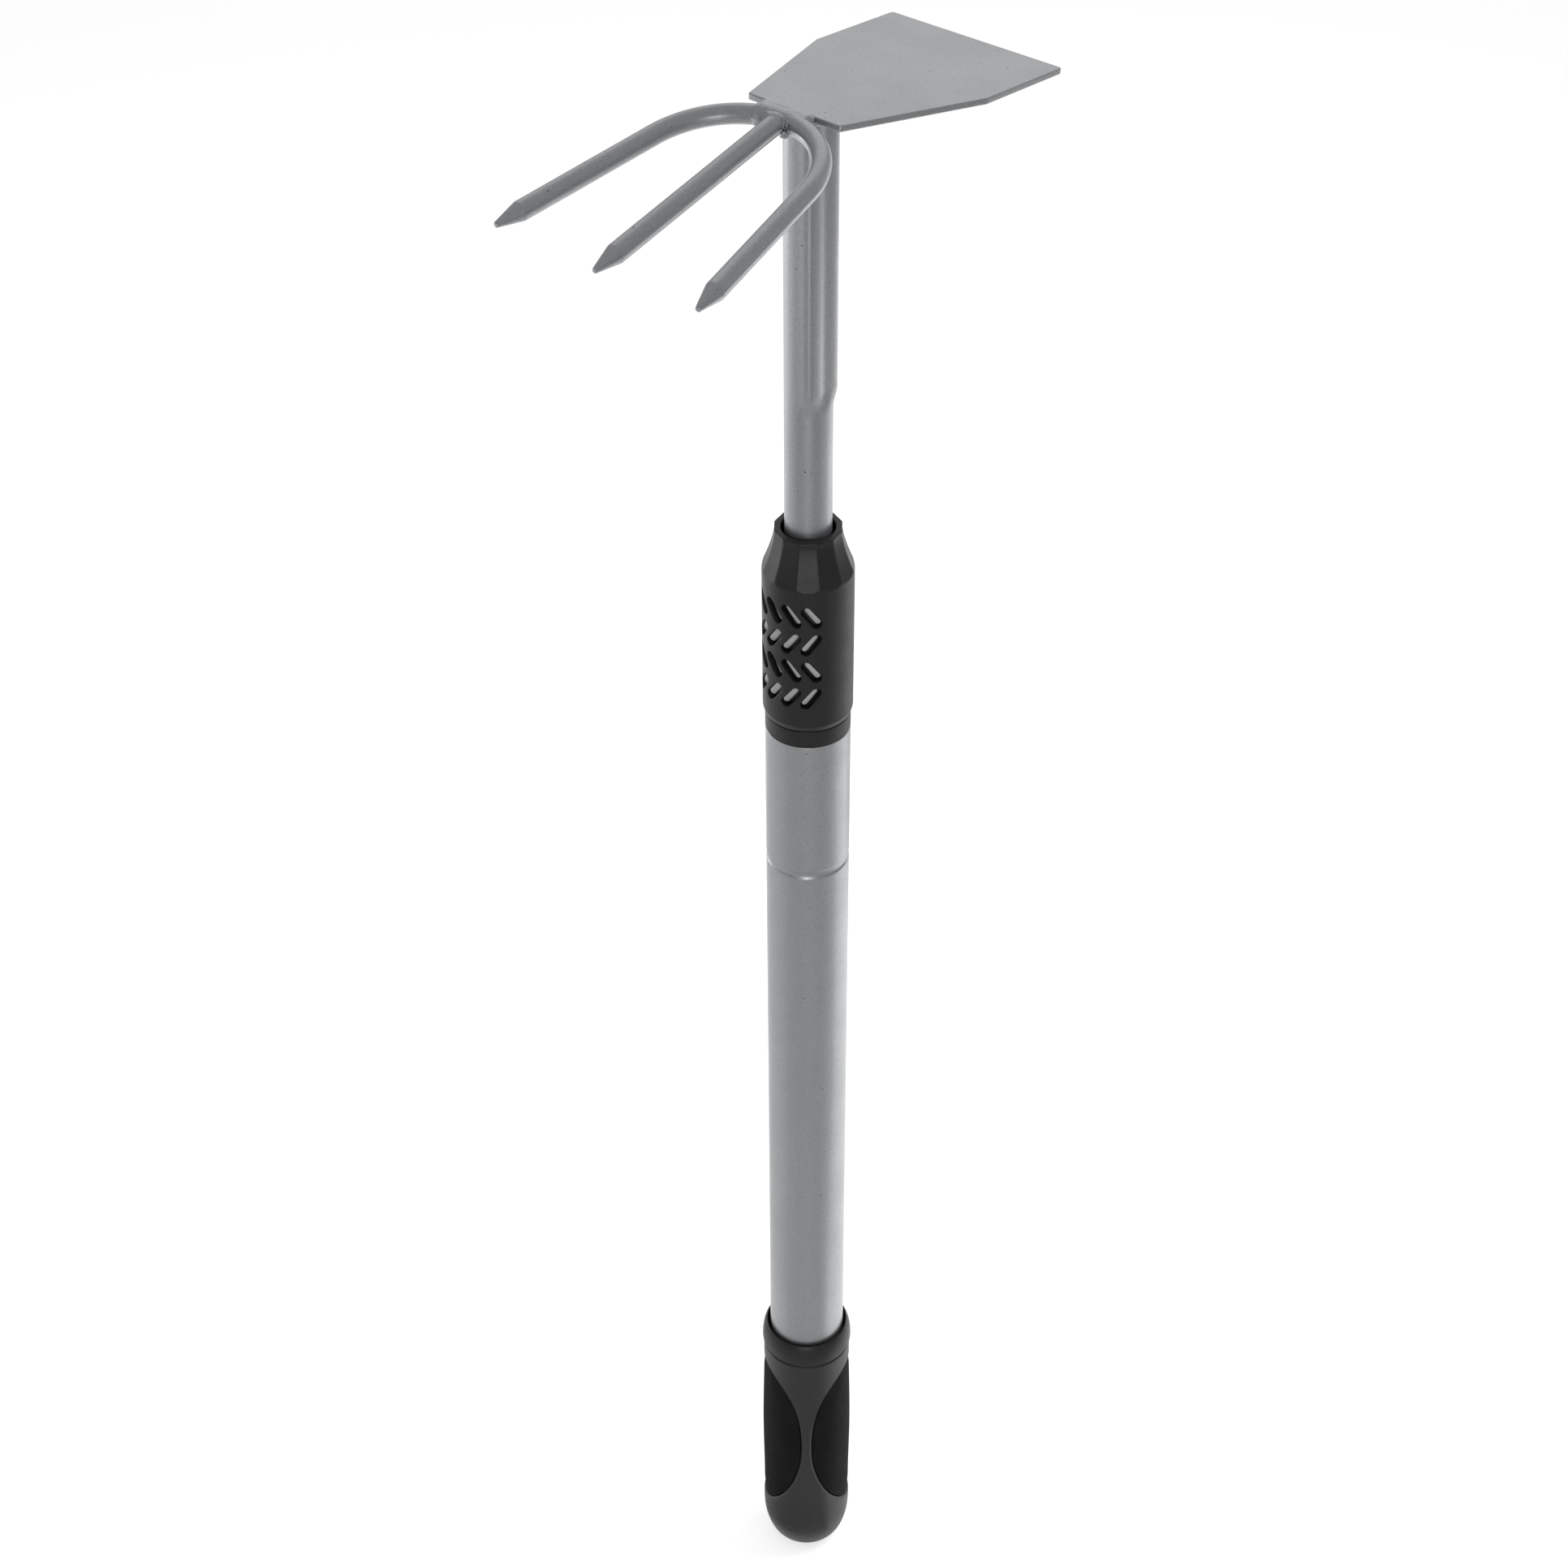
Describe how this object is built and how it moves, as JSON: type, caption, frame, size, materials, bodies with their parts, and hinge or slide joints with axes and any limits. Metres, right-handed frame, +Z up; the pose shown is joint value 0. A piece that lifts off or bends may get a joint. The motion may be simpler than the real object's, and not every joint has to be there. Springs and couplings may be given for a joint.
{
  "type": "telescopic hoe and rake tool",
  "caption": "Telescopic garden hand tool with a hoe blade and rake tines on a twist-locked tube handle and a soft grip.",
  "frame": {"origin": "centre of the grip's flat end", "axes": "+Z up along the handle towards the head, +X towards the hoe blade's cutting edge, -X towards the rake tines"},
  "size_m": [0.1664, 0.0766, 0.6335],
  "materials": {
    "silver_paint": "silver grey metallic paint with a fine orange peel",
    "black_plastic": "satin",
    "grip_black": "satin",
    "panel_rubber": "matte, ribbed",
    "light_plastic": "satin",
    "natural_plastic": "satin",
    "bare_steel": "plain"
  },
  "bodies": {
    "handle": {"lower_tube": "silver_paint", "lock_body": "black_plastic", "grip_base": "black_plastic", "grip_ring": "black_plastic", "grip_cover": "grip_black", "grip_panel_left": "panel_rubber", "grip_panel_right": "panel_rubber"},
    "clamp": {"collet": "natural_plastic"},
    "collar": {"collar_shell": "black_plastic", "lock_nut": "light_plastic"},
    "slider": {"guide_bush": "natural_plastic"},
    "head": {"upper_tube": "silver_paint", "bush_stop_ring": "bare_steel", "tube_end_plug": "black_plastic", "hoe_blade": "silver_paint", "outer_tines": "silver_paint", "centre_tine": "silver_paint", "rod_weld": "silver_paint", "tine_weld": "silver_paint", "tube_weld": "silver_paint"}
  },
  "joints": [
    {"name": "collar_rise", "type": "slide", "parent": "handle", "child": "clamp", "axis": [0, 0, 1], "range_m": [0, 0.0015]},
    {"name": "collar_twist", "type": "hinge", "parent": "clamp", "child": "collar", "pos_m": [0, 0, 0.45], "axis": [0, 0, 1], "range_deg": [0, 180]},
    {"name": "telescope", "type": "slide", "parent": "handle", "child": "slider", "axis": [0, 0, 1], "range_m": [0, 0.3]},
    {"name": "head_turn", "type": "hinge", "parent": "slider", "child": "head", "pos_m": [0, 0, 0.025], "axis": [0, 0, 1], "continuous": true}
  ],
  "couplings": [
    {"joint": "collar_rise", "follows": "collar_twist", "m_per_rad": 0.00047746}
  ]
}
